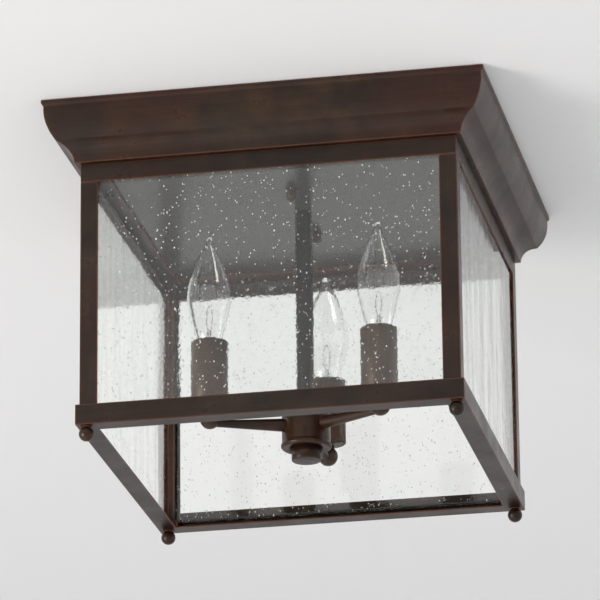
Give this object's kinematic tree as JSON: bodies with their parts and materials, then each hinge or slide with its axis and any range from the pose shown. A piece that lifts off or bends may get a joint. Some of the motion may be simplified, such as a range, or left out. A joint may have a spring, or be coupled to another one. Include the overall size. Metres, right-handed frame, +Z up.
{
  "type": "porch ceiling lantern",
  "caption": "Square flush-mount porch lantern: moulded canopy, seeded-glass body open below, candle cluster on a centre stem, ball finials at the corners.",
  "frame": {"origin": "middle of the crossbar's top face, at the ceiling", "axes": "+Z up towards the ceiling, -Y towards the front pane, +X to the right seen from the front"},
  "size_m": [0.3174, 0.3174, 0.2469],
  "materials": {
    "bronze_paint": "oil-rubbed bronze paint, satin",
    "pan_paint": "dark bronze paint, semi-gloss",
    "seeded_glass": "clear glass with seeds and ripples",
    "bulb_glass": "clear blown glass",
    "bulb_brass": "rolled brass",
    "socket_resin": "moulded insulating resin",
    "zinc_steel": "zinc plated",
    "green_steel": "green plated",
    "lead_jacket": "flexible jacket",
    "nylon": "moulded nylon"
  },
  "bodies": {
    "root": {"arm_left": "bronze_paint", "arm_rear": "bronze_paint", "arm_right": "bronze_paint", "bottom_frame": "bronze_paint", "candle_sleeve_left": "bronze_paint", "candle_sleeve_rear": "bronze_paint", "candle_sleeve_right": "bronze_paint", "canopy_shell": "bronze_paint", "cap_nuts": "bronze_paint", "centre_rod": "zinc_steel", "corner_feet": "bronze_paint", "crossbar": "zinc_steel", "cup_left": "bronze_paint", "cup_rear": "bronze_paint", "cup_right": "bronze_paint", "frame_screws": "zinc_steel", "glass_keepers": "bronze_paint", "ground_screw": "green_steel", "hub_body": "bronze_paint", "lamp_leads": "lead_jacket", "mounting_studs": "zinc_steel", "pan_plate": "pan_paint", "pane_front": "seeded_glass", "pane_left": "seeded_glass", "pane_rear": "seeded_glass", "pane_right": "seeded_glass", "post_front_left": "bronze_paint", "post_front_right": "bronze_paint", "post_rear_left": "bronze_paint", "post_rear_right": "bronze_paint", "rod_bushing": "nylon", "rod_nuts": "zinc_steel", "socket_body_left": "socket_resin", "socket_body_rear": "socket_resin", "socket_body_right": "socket_resin", "socket_nipples": "zinc_steel", "socket_shells": "bulb_brass", "splice_cap": "nylon", "stem_tube": "bronze_paint", "stud_nuts": "zinc_steel", "top_frame": "bronze_paint"},
    "bulb_left_travel": {"bulb_contact_left": "bulb_brass"},
    "bulb_left_turning": {"bulb_glass_left": "bulb_glass", "bulb_base_left": "bulb_brass"},
    "bulb_right_travel": {"bulb_contact_right": "bulb_brass"},
    "bulb_right_turning": {"bulb_glass_right": "bulb_glass", "bulb_base_right": "bulb_brass"},
    "bulb_rear_travel": {"bulb_contact_rear": "bulb_brass"},
    "bulb_rear_turning": {"bulb_glass_rear": "bulb_glass", "bulb_base_rear": "bulb_brass"},
    "finial_front_left_travel": {"finial_washer_front_left": "bronze_paint"},
    "finial_front_left_turning": {"finial_front_left": "bronze_paint"},
    "finial_front_right_travel": {"finial_washer_front_right": "bronze_paint"},
    "finial_front_right_turning": {"finial_front_right": "bronze_paint"},
    "finial_rear_right_travel": {"finial_washer_rear_right": "bronze_paint"},
    "finial_rear_right_turning": {"finial_rear_right": "bronze_paint"},
    "finial_rear_left_travel": {"finial_washer_rear_left": "bronze_paint"},
    "finial_rear_left_turning": {"finial_rear_left": "bronze_paint"},
    "plug_travel": {"plug_washer": "bronze_paint"},
    "plug_turning": {"hub_plug": "bronze_paint"}
  },
  "joints": [
    {"name": "bulb_left_slide", "type": "slide", "parent": "root", "child": "bulb_left_travel", "axis": [0, 0, 1], "range_m": [0, 0.01016]},
    {"name": "bulb_left_turn", "type": "hinge", "parent": "bulb_left_travel", "child": "bulb_left_turning", "pos_m": [-0.06348, -0.03397, -0.16], "axis": [0, 0, 1], "range_deg": [0, 1440]},
    {"name": "bulb_right_slide", "type": "slide", "parent": "root", "child": "bulb_right_travel", "axis": [0, 0, 1], "range_m": [0, 0.01016]},
    {"name": "bulb_right_turn", "type": "hinge", "parent": "bulb_right_travel", "child": "bulb_right_turning", "pos_m": [0.06116, -0.03799, -0.16], "axis": [0, 0, 1], "range_deg": [0, 1440]},
    {"name": "bulb_rear_slide", "type": "slide", "parent": "root", "child": "bulb_rear_travel", "axis": [0, 0, 1], "range_m": [0, 0.01016]},
    {"name": "bulb_rear_turn", "type": "hinge", "parent": "bulb_rear_travel", "child": "bulb_rear_turning", "pos_m": [0.00232, 0.07196, -0.16], "axis": [0, 0, 1], "range_deg": [0, 1440]},
    {"name": "finial_front_left_slide", "type": "slide", "parent": "root", "child": "finial_front_left_travel", "axis": [0, 0, -1], "range_m": [0, 0.00357]},
    {"name": "finial_front_left_turn", "type": "hinge", "parent": "finial_front_left_travel", "child": "finial_front_left_turning", "pos_m": [-0.1308, -0.1308, -0.24], "axis": [0, 0, -1], "range_deg": [0, 1620]},
    {"name": "finial_front_right_slide", "type": "slide", "parent": "root", "child": "finial_front_right_travel", "axis": [0, 0, -1], "range_m": [0, 0.00357]},
    {"name": "finial_front_right_turn", "type": "hinge", "parent": "finial_front_right_travel", "child": "finial_front_right_turning", "pos_m": [0.1308, -0.1308, -0.24], "axis": [0, 0, -1], "range_deg": [0, 1620]},
    {"name": "finial_rear_right_slide", "type": "slide", "parent": "root", "child": "finial_rear_right_travel", "axis": [0, 0, -1], "range_m": [0, 0.00357]},
    {"name": "finial_rear_right_turn", "type": "hinge", "parent": "finial_rear_right_travel", "child": "finial_rear_right_turning", "pos_m": [0.1308, 0.1308, -0.24], "axis": [0, 0, -1], "range_deg": [0, 1620]},
    {"name": "finial_rear_left_slide", "type": "slide", "parent": "root", "child": "finial_rear_left_travel", "axis": [0, 0, -1], "range_m": [0, 0.00357]},
    {"name": "finial_rear_left_turn", "type": "hinge", "parent": "finial_rear_left_travel", "child": "finial_rear_left_turning", "pos_m": [-0.1308, 0.1308, -0.24], "axis": [0, 0, -1], "range_deg": [0, 1620]},
    {"name": "plug_slide", "type": "slide", "parent": "root", "child": "plug_travel", "axis": [0, 0, -1], "range_m": [0, 0.00275]},
    {"name": "plug_turn", "type": "hinge", "parent": "plug_travel", "child": "plug_turning", "pos_m": [0, 0, -0.225], "axis": [0, 0, -1], "range_deg": [0, 990]}
  ],
  "couplings": [
    {"joint": "bulb_left_turn", "follows": "bulb_left_slide", "rad_per_m": 2473.7},
    {"joint": "bulb_right_turn", "follows": "bulb_right_slide", "rad_per_m": 2473.7},
    {"joint": "bulb_rear_turn", "follows": "bulb_rear_slide", "rad_per_m": 2473.7},
    {"joint": "finial_front_left_turn", "follows": "finial_front_left_slide", "rad_per_m": 7915.8},
    {"joint": "finial_front_right_turn", "follows": "finial_front_right_slide", "rad_per_m": 7915.8},
    {"joint": "finial_rear_right_turn", "follows": "finial_rear_right_slide", "rad_per_m": 7915.8},
    {"joint": "finial_rear_left_turn", "follows": "finial_rear_left_slide", "rad_per_m": 7915.8},
    {"joint": "plug_turn", "follows": "plug_slide", "rad_per_m": 6283.2}
  ]
}
